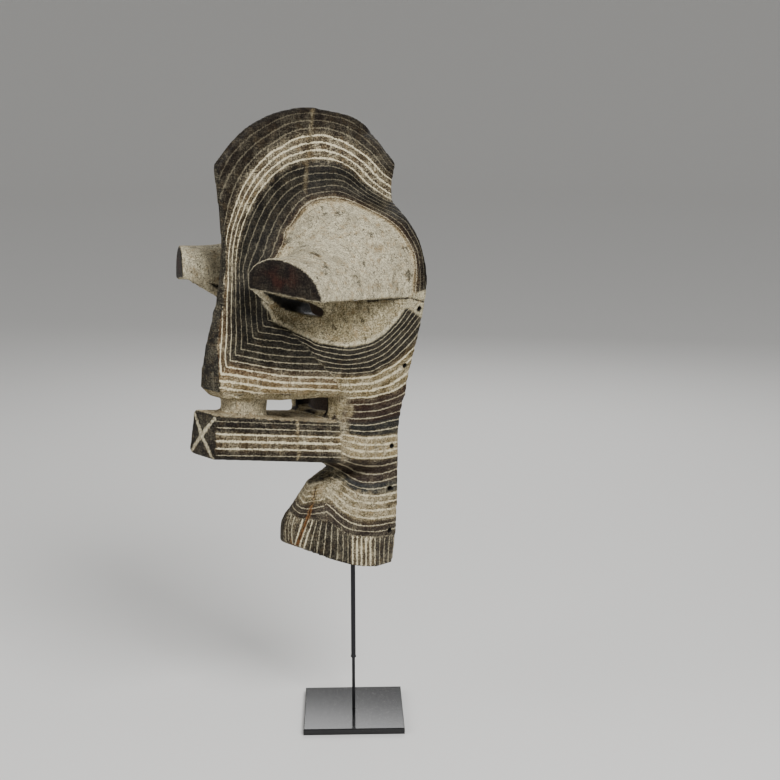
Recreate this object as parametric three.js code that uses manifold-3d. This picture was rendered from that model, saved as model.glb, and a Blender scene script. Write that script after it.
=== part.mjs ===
// A carved wooden face mask of the kifwebe kind, standing on a thin rod with a square foot plate.
// Millimetres, +Z up. The face looks along -Y, its own left side is +X, and the origin is the centre
// of the foot plate's underside. The mask is one carved shell, open at the back and below.
import * as THREE from 'three';
import { mergeVertices } from 'three/addons/utils/BufferGeometryUtils.js';
import Module from 'manifold-3d';

const wasm = await Module();
wasm.setup();

const TOUCH = 0.3; // gap kept between pieces that rest on each other
const CUT_RUN = 30; // how far a cutting solid runs past the wood it cuts
const RIM_Y = 28; // the plane of the open back

// The stand
const PLATE_SIDE = 124;
const PLATE_THICK = 8;
const PLATE_BEVEL = 1;
const PLATE_FLOOR = 2; // plate left under the rod's hole
const PLATE_TURN = 49; // degrees that the plate is turned under the mask, on its round rod
const ROD_DIAMETER = 4;
const SLEEVE_WALL = 0.6;
const SLEEVE_CLEARANCE = 0.3; // all round, between the rod and the tube that turns on it
const SLEEVE_FROM = 76; // height of the tube's lower end
const SLEEVE_LIP = 0.5;
const SLEEVE_LIP_HEIGHT = 2.5;
const ROD_ENGAGED = 60; // length of rod inside the tube
const ROD_SIDES = 16;
const COLLAR_WALL = 3;

// Holders inside the mask: a ridge under the top of the vault and an arm to the back of the chin
const SADDLE = { halfWidth: 6, back: 14, front: 20, bottom: 689, shoulder: 695, collar: 26 };
const ARM = { height: 297, halfWidth: 6, thick: 4, collar: 12 };

// The mask: heights of its main lines
const CREST_TOP = 753;
const CREST_CORNER = 691;
const VAULT_TOP = 726;
const NOSE_BOTTOM = 449;
const JAW_TOP = 430;
const BODY_BOTTOM = 196;
const STATION_STEP = 11;

// Each profile is a smooth curve through [height, value] knots.
const rimHalfWidth = smooth([
  [BODY_BOTTOM, 43], [223, 47], [271, 52], [331, 54], [367, 54], [434, 69], [512, 93], [560, 102],
  [600, 91], [634, 61], [646, 43], [664, 42], [688, 49], [700, 36], [717, 16], [VAULT_TOP, 3],
]);
const crestDepth = smooth([
  [447, 209], [489, 207], [550, 193], [609, 187], [671, 192], [CREST_CORNER, 195], [699, 188],
  [717, 170], [731, 151], [743, 124], [750, 99], [CREST_TOP, 76],
]);
const crestHalfWidth = smooth([[447, 18], [462, 17], [489, 11.5], [516, 7.5], [560, 5], [CREST_TOP, 4.4]]);

// The valley between the crest and the side of the face: a channel beside the eyes, a crease above them
const valleyDepth = smooth([
  [NOSE_BOTTOM, 149], [500, 163], [520, 172], [545, 160], [580, 134], [620, 106], [645, 90], [662, 78],
  [VAULT_TOP, 69],
]);
const valleyX = smooth([[NOSE_BOTTOM, 50], [500, 45], [530, 36], [600, 26], [640, 15], [677, 9], [VAULT_TOP, 5]]);
const fullness = smooth([[NOSE_BOTTOM, 1.1], [470, 1.5], [500, 2.1], [560, 1.9], [630, 1.9], [650, 1.5], [666, 1.2],
  [VAULT_TOP, 1.1]]);

// Jaw and beard: a front facet that fans out downwards, with a side facet to each rim
const jawFront = smooth([
  [BODY_BOTTOM, 96], [250, 94], [266, 91], [280, 84], [300, 74], [316, 69], [320, 54], [324, 32],
  [332, 40], [345, 60], [380, 68], [JAW_TOP, 68],
]);
const jawCornerX = smooth([
  [BODY_BOTTOM, 43], [250, 43], [262, 41], [270, 38], [285, 30], [300, 23], [316, 14], [324, 20], [345, 44], [JAW_TOP, 54],
]);
const jawCornerDepth = smooth([
  [BODY_BOTTOM, 80], [262, 80], [270, 78], [285, 71], [300, 65], [316, 58], [320, 40], [324, 10], [345, 48],
  [JAW_TOP, 52],
]);
const jawBulge = smooth([[BODY_BOTTOM, 0.1], [316, 0.15], [345, 0.8], [JAW_TOP, 0.8]]);
const BEARD_EDGE = [[-140, 252], [-110, 249], [-94, 244], [-79, 235], [-60, 226], [-40, 217], [-20, 210], [0, 205], [70, 205]];

// Nose and cheeks overhang the mouth, with a bevel underneath
const OVERHANG = { slope: 0.085, fadeTop: 500, bevel: 11, bevelInset: 0.84 };

// Hollow of the back, following the outside a wall's thickness in
const WALL = 11;
const HOLLOW_TOP = 706;
const hollowFront = smooth([
  [BODY_BOTTOM, 82], [250, 80], [270, 74], [290, 64], [305, 54], [316, 40], [322, 18], [332, 22], [345, 44],
  [380, 54], [JAW_TOP, 56], [480, 88], [560, 86], [600, 84], [640, 68], [666, 50], [HOLLOW_TOP, 40],
]);
const hollowFullness = smooth([[BODY_BOTTOM, 3], [290, 2.2], [324, 1.2], [345, 2], [600, 2], [650, 1.5], [HOLLOW_TOP, 1.1]]);

// Mouth bar, and the block that joins it to the nose
const BAR = {
  frontDepth: 216, frontLean: 6, frontHalf: 22, rootDepth: 50, rootHalf: 50,
  frontTop: 425, frontBottom: 375, rootTop: 394, rootBottom: 345, edge: 4, peak: 3,
};
const BLOCK = { halfWidth: 15, from: 186, to: 138, bulge: 2, bottom: 412, top: 451 };
const MOUTH = { halfWidth: 26, bottom: 404, top: 436, from: 120, to: 30 };

// Eyes: an arched upper lid with a D-shaped end, a scooped lower lid and the slit between
const LID = {
  inner: [60, -199, 566], outer: [133, -158, 554], rootInner: [28, -100, 560], rootOuter: [95, 6, 541],
  height: 38, rootHeight: 86, flare: 3, peakShare: 0.43, innerReach: 0.484, outerReach: 0.573,
};
const SCOOP = { centre: [76, -88, 549], along: 88, deep: 14, tall: 56, turn: 74 };
const SLIT = {
  frontInner: 67, frontOuter: 126, backInner: 36, backOuter: 81, frontY: -230, backY: -47,
  innerTop: 561, outerTop: 551, height: 15,
};
// The wall that hangs under the upper lid's inner edge, between slit and hollow
const WEB = { drop: 63, front: 0.02, back: 0.62, frontThick: 2, backThick: 9, lap: 2 };
// The slot beside the nose that lets sight into the slit: its mouth in the side wall, and its inner end
const SLOT_MOUTH = [
  [58, -172, 559], [60, -143, 549], [62, -120, 541.5], [66, -102, 533],
  [66, -102, 526], [62, -119, 528], [60, -140, 532], [60, -168, 547],
];
const SLOT_END = [
  [20, -78, 549], [23, -76, 544], [28, -72, 538], [36, -66, 531],
  [36, -66, 519], [28, -72, 519], [23, -76, 522], [20, -78, 532],
];

// Holes for cords along the rim: [height, distance in front of the rim]
const CORD_HOLES = [[250, 12], [303, 12], [356, 12], [457, 12], [526, 9]];
const CORD_HOLE_DIAMETER = 5.5;

function smooth(knots) {
  const slopes = knots.map((knot, i) => {
    if (i === 0 || i === knots.length - 1) return 0;
    const before = (knot[1] - knots[i - 1][1]) / (knot[0] - knots[i - 1][0]);
    const after = (knots[i + 1][1] - knot[1]) / (knots[i + 1][0] - knot[0]);
    return before * after <= 0 ? 0 : (2 * before * after) / (before + after);
  });
  return (at) => {
    const x = THREE.MathUtils.clamp(at, knots[0][0], knots[knots.length - 1][0]);
    const i = Math.max(1, knots.findIndex((knot) => knot[0] >= x));
    const [x0, y0] = knots[i - 1];
    const [x1, y1] = knots[i];
    const run = x1 - x0;
    const t = (x - x0) / run;
    const rise = (3 - 2 * t) * t * t;
    const bend = t * (1 - t);
    return y0 + (y1 - y0) * rise + run * bend * (slopes[i - 1] * (1 - t) - slopes[i] * t);
  };
}

// A closed geometry through rings of points, with a fan at each end.
function loft(rings, tips = []) {
  const count = rings[0].length;
  const points = rings.flat();
  const centres = [rings[0], rings[rings.length - 1]].map((ring, end) => {
    if (tips[end]) return tips[end];
    return ring.reduce((sum, p) => sum.add(p), new THREE.Vector3()).divideScalar(count);
  });
  points.push(...centres);
  const index = [];
  for (let r = 0; r + 1 < rings.length; r++) {
    for (let i = 0; i < count; i++) {
      const a = r * count + i;
      const b = r * count + ((i + 1) % count);
      index.push(a, b, b + count, a, b + count, a + count);
    }
  }
  const last = (rings.length - 1) * count;
  for (let i = 0; i < count; i++) {
    const next = (i + 1) % count;
    index.push(next, i, rings.length * count);
    index.push(last + i, last + next, rings.length * count + 1);
  }
  const geometry = new THREE.BufferGeometry().setFromPoints(points);
  geometry.setIndex(index);
  return geometry;
}

function toSolid(geometry) {
  const plain = geometry.index ? geometry.toNonIndexed() : geometry.clone();
  plain.deleteAttribute('normal');
  plain.deleteAttribute('uv');
  const merged = mergeVertices(plain, 1e-3);
  const vertProperties = new Float32Array(merged.attributes.position.array);
  const triVerts = new Uint32Array(merged.index.array);
  const made = new wasm.Manifold(new wasm.Mesh({ numProp: 3, vertProperties, triVerts }));
  if (made.volume() > 0) return made;
  for (let i = 0; i < triVerts.length; i += 3) {
    [triVerts[i + 1], triVerts[i + 2]] = [triVerts[i + 2], triVerts[i + 1]];
  }
  return new wasm.Manifold(new wasm.Mesh({ numProp: 3, vertProperties, triVerts }));
}

function toGeometry(solid) {
  const mesh = solid.getMesh();
  const geometry = new THREE.BufferGeometry();
  const positions = new Float32Array(mesh.numVert * 3);
  for (let v = 0; v < mesh.numVert; v++) {
    for (let k = 0; k < 3; k++) positions[v * 3 + k] = mesh.vertProperties[v * mesh.numProp + k];
  }
  geometry.setAttribute('position', new THREE.BufferAttribute(positions, 3));
  geometry.setIndex([...mesh.triVerts]);
  return geometry;
}

const whole = (geometry) => toGeometry(toSolid(geometry));
const mirrorX = (geometry) => geometry.clone().applyMatrix4(new THREE.Matrix4().makeScale(-1, 1, 1));
const both = (geometry) => [toSolid(geometry), toSolid(mirrorX(geometry))];
const lerp = THREE.MathUtils.lerp;
const vec = (x, y, z) => new THREE.Vector3(x, y, z);

function heights(from, to, step) {
  const count = Math.round((to - from) / step);
  return Array.from({ length: count + 1 }, (_, i) => lerp(from, to, i / count));
}

// A ring from one side's points, given from the rim to the middle, and their mirror images.
function ringFromHalf(half) {
  const left = half.map((p) => vec(-p.x, p.y, p.z)).reverse();
  return [...half, ...left.filter((p) => Math.abs(p.x) > 1e-6)];
}

// An arc from the rim to (endX, -depth), rounder as the fullness grows.
function roundArc(rim, endX, depth, full, z, steps) {
  return Array.from({ length: steps + 1 }, (_, i) => {
    const angle = (i / steps) * (Math.PI / 2);
    const across = Math.cos(angle) ** (2 / full);
    const ahead = Math.sin(angle) ** (2 / full);
    return vec(endX + (rim - endX) * across, RIM_Y - (RIM_Y + depth) * ahead, z);
  });
}

// One level of the face above the mouth: rim, rounded side, valley, then the crest's flank and edge.
function faceRing(z) {
  const edgeX = crestHalfWidth(z);
  const sink = OVERHANG.slope * (1 - THREE.MathUtils.smoothstep(z, NOSE_BOTTOM, OVERHANG.fadeTop));
  const rim = rimHalfWidth(z - sink * (crestDepth(z) + RIM_Y));
  const half = roundArc(rim, Math.max(valleyX(z), edgeX + 0.5), valleyDepth(z), fullness(z), z, 10);
  const valley = half[half.length - 1];
  for (const share of [0.16, 0.36, 0.64, 1]) {
    const flare = (1 - share) ** 1.6;
    half.push(vec(lerp(edgeX, valley.x, flare), lerp(valley.y, -crestDepth(z), share), z));
  }
  for (const p of half) p.z -= sink * (crestDepth(z) + p.y);
  return ringFromHalf(half);
}

// The lower edge of nose and cheeks, drawn in under the face's lowest level.
function overhangRing() {
  return faceRing(NOSE_BOTTOM).map((p) => {
    const ahead = THREE.MathUtils.smoothstep(-p.y, 0, 80);
    const inset = lerp(1, OVERHANG.bevelInset, ahead);
    return vec(p.x * inset, p.y * lerp(1, 0.95, ahead), p.z - OVERHANG.bevel);
  });
}

// One level of the jaw and beard, with as many points as a level of the face.
function jawRing(z) {
  const rim = vec(rimHalfWidth(z), RIM_Y, z);
  const corner = vec(jawCornerX(z), -jawCornerDepth(z), z);
  const front = vec(0.8, -jawFront(z), z);
  const square = vec(rim.x, corner.y, z);
  const control = rim.clone().lerp(corner, 0.5).lerp(square, jawBulge(z));
  const side = new THREE.QuadraticBezierCurve3(rim, control, corner).getPoints(8);
  const crown = vec(corner.x * 0.6, front.y, z);
  const facet = new THREE.QuadraticBezierCurve3(corner, crown, front).getPoints(6).slice(1);
  return ringFromHalf([...side, ...facet]);
}

function body() {
  const jaw = [
    ...heights(BODY_BOTTOM, 306, STATION_STEP), 311, 316, 320, 324, 332, 345, ...heights(357, JAW_TOP - 12, 15), JAW_TOP,
  ];
  const face = [
    ...heights(NOSE_BOTTOM, 638, STATION_STEP), 646, 654, 664, 676, 688, 694, 700, 709, 717, VAULT_TOP,
  ];
  const rings = [...jaw.map(jawRing), overhangRing(), ...face.map(faceRing)];
  return loft(rings, [vec(0, -20, BODY_BOTTOM), vec(0, -40, VAULT_TOP)]);
}

// The crest above the vault, standing down into it.
function crestCap() {
  const backOf = smooth([[694, -RIM_Y + 1.5], [VAULT_TOP, -RIM_Y + 0.2], [735, -16], [743, 2], [748, 28], [CREST_TOP, 56]]);
  const root = VAULT_TOP - 9;
  const levels = [694, 710, root, 721, VAULT_TOP, 731, 735, 739, 743, 746, 748, 751, CREST_TOP];
  return loft(levels.map((z) => {
    const edgeX = crestHalfWidth(z) - (z < VAULT_TOP ? 1 : 0);
    const front = crestDepth(z) - (z < VAULT_TOP ? 1 : 0);
    const base = edgeX + (z < root ? 0 : 6.2 * Math.max(0, 1 - (z - root) / 30) ** 2);
    const near = Math.max(62, backOf(z) + 5);
    return ringFromHalf([
      vec(edgeX, -backOf(z), z), vec(base, -lerp(backOf(z), near, 0.5), z), vec(edgeX, -near, z), vec(edgeX, -front, z),
    ]);
  }));
}

function bar() {
  const ring = (t) => {
    const half = lerp(BAR.frontHalf, BAR.rootHalf, t);
    const top = lerp(BAR.frontTop, BAR.rootTop, t);
    const bottom = lerp(BAR.frontBottom, BAR.rootBottom, t);
    const y = -lerp(BAR.frontDepth, BAR.rootDepth, t);
    const lean = BAR.frontLean * (1 - t);
    const e = BAR.edge;
    const right = [[half - e, top], [half, top - e], [half + 2, bottom + e], [half + 2 - e, bottom]];
    const left = right.map(([x, z]) => [-x, z]).reverse();
    return [...right, ...left].map(([x, z]) => vec(x, y - lean * ((top - z) / (top - bottom)), z));
  };
  const middle = (BAR.frontTop + BAR.frontBottom) / 2;
  const tip = vec(0, -BAR.frontDepth - BAR.frontLean / 2 - BAR.peak, middle);
  return loft([0, 0.25, 0.5, 0.75, 1].map(ring), [tip]);
}

function block() {
  const middle = (BLOCK.from + BLOCK.to) / 2;
  const long = (BLOCK.from - BLOCK.to) / 2;
  const levels = heights(BLOCK.bottom, BLOCK.top, 10);
  return loft(levels.map((z) => {
    const swell = Math.sin(((z - BLOCK.bottom) / (BLOCK.top - BLOCK.bottom)) * Math.PI) * BLOCK.bulge;
    return Array.from({ length: 16 }, (_, i) => {
      const angle = (i / 16) * Math.PI * 2;
      const across = Math.sign(Math.cos(angle)) * Math.abs(Math.cos(angle)) ** 0.45;
      const ahead = Math.sign(Math.sin(angle)) * Math.abs(Math.sin(angle)) ** 0.45;
      return vec((BLOCK.halfWidth + swell) * across, -middle + (long + swell) * ahead, z);
    });
  }));
}

// The upper lid of one eye: an arch that flares back into the side of the face.
function lid() {
  const arc = 12;
  const shares = [0, 0.16, 0.32, 0.48, 0.62, 0.75, 0.87, 1];
  return loft(shares.map((t) => {
    const inner = vec(...LID.inner).lerp(vec(...LID.rootInner), t);
    const outer = vec(...LID.outer).lerp(vec(...LID.rootOuter), t);
    const tall = lerp(LID.height, LID.rootHeight, t ** LID.flare);
    const ring = [];
    for (let i = 0; i <= arc; i++) {
      const share = i / arc;
      const off = (share - LID.peakShare) / (share < LID.peakShare ? LID.innerReach : LID.outerReach);
      const rise = tall * Math.sqrt(Math.max(0, 1 - off * off));
      ring.push(inner.clone().lerp(outer, share).add(vec(0, 0, rise)));
    }
    for (const share of [1, 0.66, 0.33, 0]) ring.push(inner.clone().lerp(outer, share).add(vec(0, 0, -0.5)));
    return ring;
  }));
}

function scoop() {
  const bowl = new THREE.SphereGeometry(1, 24, 14);
  bowl.scale(SCOOP.along, SCOOP.deep, SCOOP.tall);
  bowl.rotateZ(THREE.MathUtils.degToRad(SCOOP.turn));
  bowl.translate(...SCOOP.centre);
  const roof = new THREE.BoxGeometry(260, 260, 120);
  roof.translate(SCOOP.centre[0], SCOOP.centre[1], SCOOP.centre[2] + 60 - 1);
  return toGeometry(toSolid(bowl).subtract(toSolid(roof)));
}

function web() {
  const inner = vec(...LID.inner);
  const root = vec(...LID.rootInner);
  const outward = vec(inner.x - root.x, inner.y - root.y, 0).normalize().applyAxisAngle(vec(0, 0, 1), Math.PI / 2);
  return loft([0, 0.25, 0.5, 0.75, 1].map((share) => {
    const along = lerp(WEB.front, WEB.back, share);
    const top = inner.clone().lerp(root, along);
    const foot = vec(top.x, top.y, inner.z - WEB.drop * along);
    const across = outward.clone().multiplyScalar(lerp(WEB.frontThick, WEB.backThick, share));
    top.z += WEB.lap;
    return [foot, foot.clone().add(across), top.clone().add(across), top];
  }));
}

function slit() {
  const section = (y, inner, outer) => {
    const drop = SLIT.height;
    return [
      vec(inner, y, SLIT.innerTop), vec(outer, y, SLIT.outerTop), vec(outer + 4, y, SLIT.outerTop - drop * 0.45),
      vec(lerp(inner, outer, 0.85), y, SLIT.outerTop - drop), vec(lerp(inner, outer, 0.35), y, SLIT.innerTop - drop * 1.1),
      vec(inner - 2, y, SLIT.innerTop - drop * 0.3),
    ];
  };
  return loft([
    section(SLIT.frontY, SLIT.frontInner, SLIT.frontOuter),
    section(SLIT.backY, SLIT.backInner, SLIT.backOuter),
  ]);
}

function slot() {
  return loft([SLOT_MOUTH, SLOT_END].map((ring) => ring.map((p) => vec(...p))));
}

function hollow() {
  const levels = [
    BODY_BOTTOM - CUT_RUN, ...heights(BODY_BOTTOM, 306, 18), 316, 322, 332, 345, ...heights(362, 634, 17),
    646, 660, 676, 690, 699, HOLLOW_TOP,
  ];
  return loft(levels.map((z) => {
    const rim = Math.max(3, rimHalfWidth(Math.max(z, BODY_BOTTOM)) - WALL - (z > 688 ? (z - 688) * 0.9 : 0));
    const half = roundArc(rim, 0, hollowFront(z), hollowFullness(z), z, 9);
    return ringFromHalf([vec(rim, RIM_Y + CUT_RUN, z), ...half]);
  }), [vec(0, 20, BODY_BOTTOM - CUT_RUN), vec(0, 20, HOLLOW_TOP)]);
}

function mouthOpening() {
  const geometry = new THREE.BoxGeometry(2 * MOUTH.halfWidth, MOUTH.from - MOUTH.to, MOUTH.top - MOUTH.bottom);
  geometry.translate(0, -(MOUTH.from + MOUTH.to) / 2, (MOUTH.top + MOUTH.bottom) / 2);
  return geometry;
}

// What lies under the beard's scalloped edge.
// Everything below the beard's lower edge, which rises towards the tip of the beard.
function underBeard() {
  const edge = new THREE.Shape(BEARD_EDGE.map(([y, z]) => new THREE.Vector2(y, z)));
  edge.lineTo(BEARD_EDGE[BEARD_EDGE.length - 1][0], BODY_BOTTOM - CUT_RUN);
  edge.lineTo(BEARD_EDGE[0][0], BODY_BOTTOM - CUT_RUN);
  const geometry = new THREE.ExtrudeGeometry(edge, { depth: 240, bevelEnabled: false });
  geometry.translate(0, 0, -120);
  return geometry.applyMatrix4(new THREE.Matrix4().set(0, 0, 1, 0, 1, 0, 0, 0, 0, 1, 0, 0, 0, 0, 0, 1));
}

function cordHole([z, ahead]) {
  const geometry = new THREE.CylinderGeometry(CORD_HOLE_DIAMETER / 2, CORD_HOLE_DIAMETER / 2, 70, 10);
  geometry.rotateZ(Math.PI / 2);
  geometry.translate(rimHalfWidth(z), RIM_Y - ahead, z);
  return geometry;
}

function maskGeometry() {
  let wood = toSolid(body());
  const added = [toSolid(crestCap()), toSolid(bar()), toSolid(block())];
  for (const piece of added) wood = wood.add(piece);
  const cut = [
    ...both(scoop()), toSolid(hollow()), toSolid(mouthOpening()), toSolid(underBeard()),
    ...CORD_HOLES.flatMap((hole) => both(cordHole(hole))),
  ];
  for (const piece of cut) wood = wood.subtract(piece);
  for (const piece of [...both(lid()), ...both(web())]) wood = wood.add(piece);
  for (const piece of [...both(slit()), ...both(slot())]) wood = wood.subtract(piece);
  wood = wood.subtract(toSolid(hollow()));
  return toGeometry(wood);
}

function turned(points) {
  return new THREE.LatheGeometry(points.map(([r, z]) => new THREE.Vector2(r, z)), ROD_SIDES).rotateX(Math.PI / 2);
}

// A tube round the origin's vertical, closed at its two ends.
function tube(inner, outer, from, to) {
  return turned([[inner, from], [outer, from], [outer, to], [inner, to], [inner, from]]);
}

const rodRadius = ROD_DIAMETER / 2;
const boreRadius = rodRadius + SLEEVE_CLEARANCE;
const sleeveRadius = boreRadius + SLEEVE_WALL;
const collarBore = sleeveRadius + TOUCH;
const collarRadius = collarBore + COLLAR_WALL;
const rodTop = SLEEVE_FROM + ROD_ENGAGED;
const sleeveTop = SADDLE.bottom - TOUCH;

function basePlate() {
  const half = PLATE_SIDE / 2 - PLATE_BEVEL;
  const square = new THREE.Shape([[-half, -half], [half, -half], [half, half], [-half, half]]
    .map(([x, y]) => new THREE.Vector2(x, y)));
  const slab = new THREE.ExtrudeGeometry(square, {
    depth: PLATE_THICK - 2 * PLATE_BEVEL, bevelThickness: PLATE_BEVEL, bevelSize: PLATE_BEVEL, bevelSegments: 3,
  });
  slab.translate(0, 0, PLATE_BEVEL);
  slab.rotateZ(THREE.MathUtils.degToRad(PLATE_TURN));
  const hole = tube(0, rodRadius + TOUCH, PLATE_FLOOR, PLATE_THICK + CUT_RUN);
  return toGeometry(toSolid(slab).subtract(toSolid(hole)));
}

function lowerRod() {
  const ease = 0.4;
  const foot = PLATE_FLOOR + TOUCH;
  return whole(turned([
    [0, foot], [rodRadius, foot], [rodRadius, rodTop - ease], [rodRadius - ease, rodTop], [0, rodTop],
  ]));
}

function upperTube() {
  const lip = SLEEVE_FROM + SLEEVE_LIP_HEIGHT;
  return whole(turned([
    [boreRadius, SLEEVE_FROM], [sleeveRadius + SLEEVE_LIP, SLEEVE_FROM], [sleeveRadius + SLEEVE_LIP, lip - 0.5],
    [sleeveRadius, lip], [sleeveRadius, sleeveTop], [boreRadius, sleeveTop], [boreRadius, SLEEVE_FROM],
  ]));
}

function topHolder() {
  const w = SADDLE.halfWidth;
  const profile = [[-w, SADDLE.bottom], [w, SADDLE.bottom], [w, SADDLE.shoulder], [0, HOLLOW_TOP - TOUCH], [-w, SADDLE.shoulder]];
  const ridge = new THREE.ExtrudeGeometry(new THREE.Shape(profile.map(([x, z]) => new THREE.Vector2(x, z))), {
    depth: SADDLE.front + SADDLE.back, bevelEnabled: false,
  });
  ridge.rotateX(Math.PI / 2);
  ridge.translate(0, SADDLE.back, 0);
  const collar = tube(collarBore, collarRadius, SADDLE.bottom - SADDLE.collar, SADDLE.bottom + 1);
  return toGeometry(toSolid(ridge).add(toSolid(collar)));
}

function chinArm() {
  const nearest = Math.min(hollowFront(ARM.height - ARM.thick), hollowFront(ARM.height + ARM.thick));
  const reach = nearest - 3 * TOUCH - collarBore;
  const strip = new THREE.BoxGeometry(2 * ARM.halfWidth, reach, ARM.thick);
  strip.translate(0, -collarBore - reach / 2, ARM.height);
  const collar = tube(collarBore, collarRadius, ARM.height - ARM.collar / 2, ARM.height + ARM.collar / 2);
  const bore = tube(0, collarBore, ARM.height - ARM.collar, ARM.height + ARM.collar);
  return toGeometry(toSolid(strip).add(toSolid(collar)).subtract(toSolid(bore)));
}

const wood = new THREE.MeshStandardMaterial({ color: 0x3a2b22, roughness: 0.85, metalness: 0 });
const steel = new THREE.MeshStandardMaterial({ color: 0x15151a, roughness: 0.25, metalness: 0.3 });

const root = new THREE.Group();

function addPiece(name, geometry, material) {
  const mesh = new THREE.Mesh(geometry, material);
  mesh.name = name;
  root.add(mesh);
}

addPiece('mask', maskGeometry(), wood);
addPiece('base_plate', basePlate(), steel);
addPiece('lower_rod', lowerRod(), steel);
addPiece('upper_tube', upperTube(), steel);
addPiece('top_holder', topHolder(), steel);
addPiece('chin_arm', chinArm(), steel);

export default root;
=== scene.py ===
"""Dresses a carved and pigmented face mask and its rod-and-plate stand.

The mask is cut from one block of wood. Its narrow lines are carved and filled with chalky pigment, so
the lines are both a shallow relief in the mesh and a numbered coordinate that the finish turns to paint.
"""

import logging
import math
from dataclasses import dataclass, field
from enum import Enum

import bmesh
import bpy
import numpy as np
from mathutils import Matrix, Vector
from mathutils.kdtree import KDTree


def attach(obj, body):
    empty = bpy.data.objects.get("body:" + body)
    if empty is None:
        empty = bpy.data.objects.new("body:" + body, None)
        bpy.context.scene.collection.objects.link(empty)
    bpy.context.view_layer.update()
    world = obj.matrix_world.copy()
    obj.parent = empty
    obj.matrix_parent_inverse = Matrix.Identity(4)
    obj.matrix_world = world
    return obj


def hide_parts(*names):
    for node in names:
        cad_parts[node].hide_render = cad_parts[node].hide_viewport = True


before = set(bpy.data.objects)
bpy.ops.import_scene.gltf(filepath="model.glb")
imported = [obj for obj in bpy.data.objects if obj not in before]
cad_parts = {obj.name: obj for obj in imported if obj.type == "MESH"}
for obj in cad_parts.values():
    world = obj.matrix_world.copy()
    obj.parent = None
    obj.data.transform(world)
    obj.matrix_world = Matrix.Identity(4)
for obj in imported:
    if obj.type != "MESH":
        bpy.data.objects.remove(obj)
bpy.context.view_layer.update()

MM = 0.001
LOG = logging.getLogger("mask")

Array = np.ndarray


def linear(hex_colour: str) -> tuple[float, float, float]:
    """Turns an sRGB hex colour to linear light.

    Args:
        hex_colour: six hex digits.

    Returns:
        The linear red, green and blue.
    """
    parts = (int(hex_colour[i : i + 2], 16) / 255 for i in (0, 2, 4))
    return tuple(c / 12.92 if c <= 0.04045 else ((c + 0.055) / 1.055) ** 2.4 for c in parts)


def rgba(hex_colour: str) -> tuple[float, float, float, float]:
    """Gives the linear colour with full alpha."""
    return (*linear(hex_colour), 1.0)


def step(low: float, high: float, value: Array) -> Array:
    """Rises smoothly from 0 at low to 1 at high."""
    t = np.clip((value - low) / (high - low), 0.0, 1.0)
    return t * t * (3 - 2 * t)


def mix(a: Array, b: Array, share: Array) -> Array:
    """Blends rows of a and b by a share from 0 to 1."""
    weight = share[:, None] if a.ndim == 2 or np.ndim(b) == 2 else share
    return a * (1 - weight) + b * weight


class Chart:
    """Lays one side of the mask out flat, as it is seen from in front of the mask's left and a little above.

    Both sides are charted alike, because the carving is symmetric. Chart numbers run right and down.
    """

    EYE = np.array([1237.9, -1091.6, 768.9])
    AHEAD = np.array([-0.7154, 0.6671, -0.2079])
    RIGHT = np.array([0.682, 0.7314, 0.0])
    REACH = 1400.0
    MIDDLE = 390.0

    @classmethod
    def place(cls, points: Array) -> Array:
        """Charts points.

        Args:
            points: positions in mm, one per row.

        Returns:
            Chart positions, one per row.
        """
        folded = points * 1.0
        folded[:, 0] = np.abs(folded[:, 0])
        away = folded - cls.EYE
        up = np.cross(cls.RIGHT, cls.AHEAD)
        depth = away @ cls.AHEAD
        across = cls.MIDDLE + cls.REACH * (away @ cls.RIGHT) / depth
        down = cls.MIDDLE - cls.REACH * (away @ up) / depth
        return np.stack([across, down], 1)


class LineFamily:
    """A family of carved lines: a smooth number over the chart that is whole along each line."""

    def __init__(self, lines: dict[float, list[tuple[float, float]]], stiffness: float = 0.6) -> None:
        """Fits the number to the given lines.

        Args:
            lines: chart points of each line, by its number.
            stiffness: how far the fit may leave the points to stay smooth.
        """
        rows = [(u, v, number) for number, points in lines.items() for u, v in points]
        data = np.array(rows, float)
        self.knots = data[:, :2] / 100
        count = len(data)
        bend = self._bend(self.knots)
        flat = np.hstack([np.ones((count, 1)), self.knots])
        system = np.zeros((count + 3, count + 3))
        system[:count, :count] = bend + np.eye(count) * stiffness * 1e-3
        system[:count, count:] = flat
        system[count:, :count] = flat.T
        self.weights = np.linalg.solve(system, np.concatenate([data[:, 2], np.zeros(3)]))

    def _bend(self, at: Array) -> Array:
        """Gives the bending term between points and knots."""
        square = ((at[:, None, :] - self.knots[None, :, :]) ** 2).sum(2)
        return 0.5 * square * np.log(square + 1e-12)

    def at(self, chart: Array) -> Array:
        """Numbers chart positions.

        Args:
            chart: chart positions, one per row.

        Returns:
            The line number at each.
        """
        out = np.empty(len(chart))
        count = len(self.knots)
        for start in range(0, len(chart), 20000):
            part = chart[start : start + 20000] / 100
            flat = np.hstack([np.ones((len(part), 1)), part])
            curved = self._bend(part) @ self.weights[:count]
            out[start : start + 20000] = curved + flat @ self.weights[count:]
        return out


def unrest(points: Array, size: float, seed: int) -> Array:
    """Gives an uneven field, the same at every run.

    Args:
        points: positions in mm, one per row.
        size: size of the field's lumps in mm.
        seed: which field to draw.

    Returns:
        Values of about -1 to 1.
    """
    draw = np.random.default_rng(seed)
    aim = draw.normal(size=(18, 3))
    aim *= (draw.uniform(0.6, 1.8, 18) / np.linalg.norm(aim, axis=1))[:, None]
    turns = points @ aim.T * (math.pi / size) + draw.uniform(0, 2 * math.pi, 18)
    return np.sin(turns).sum(1) / 4


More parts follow.
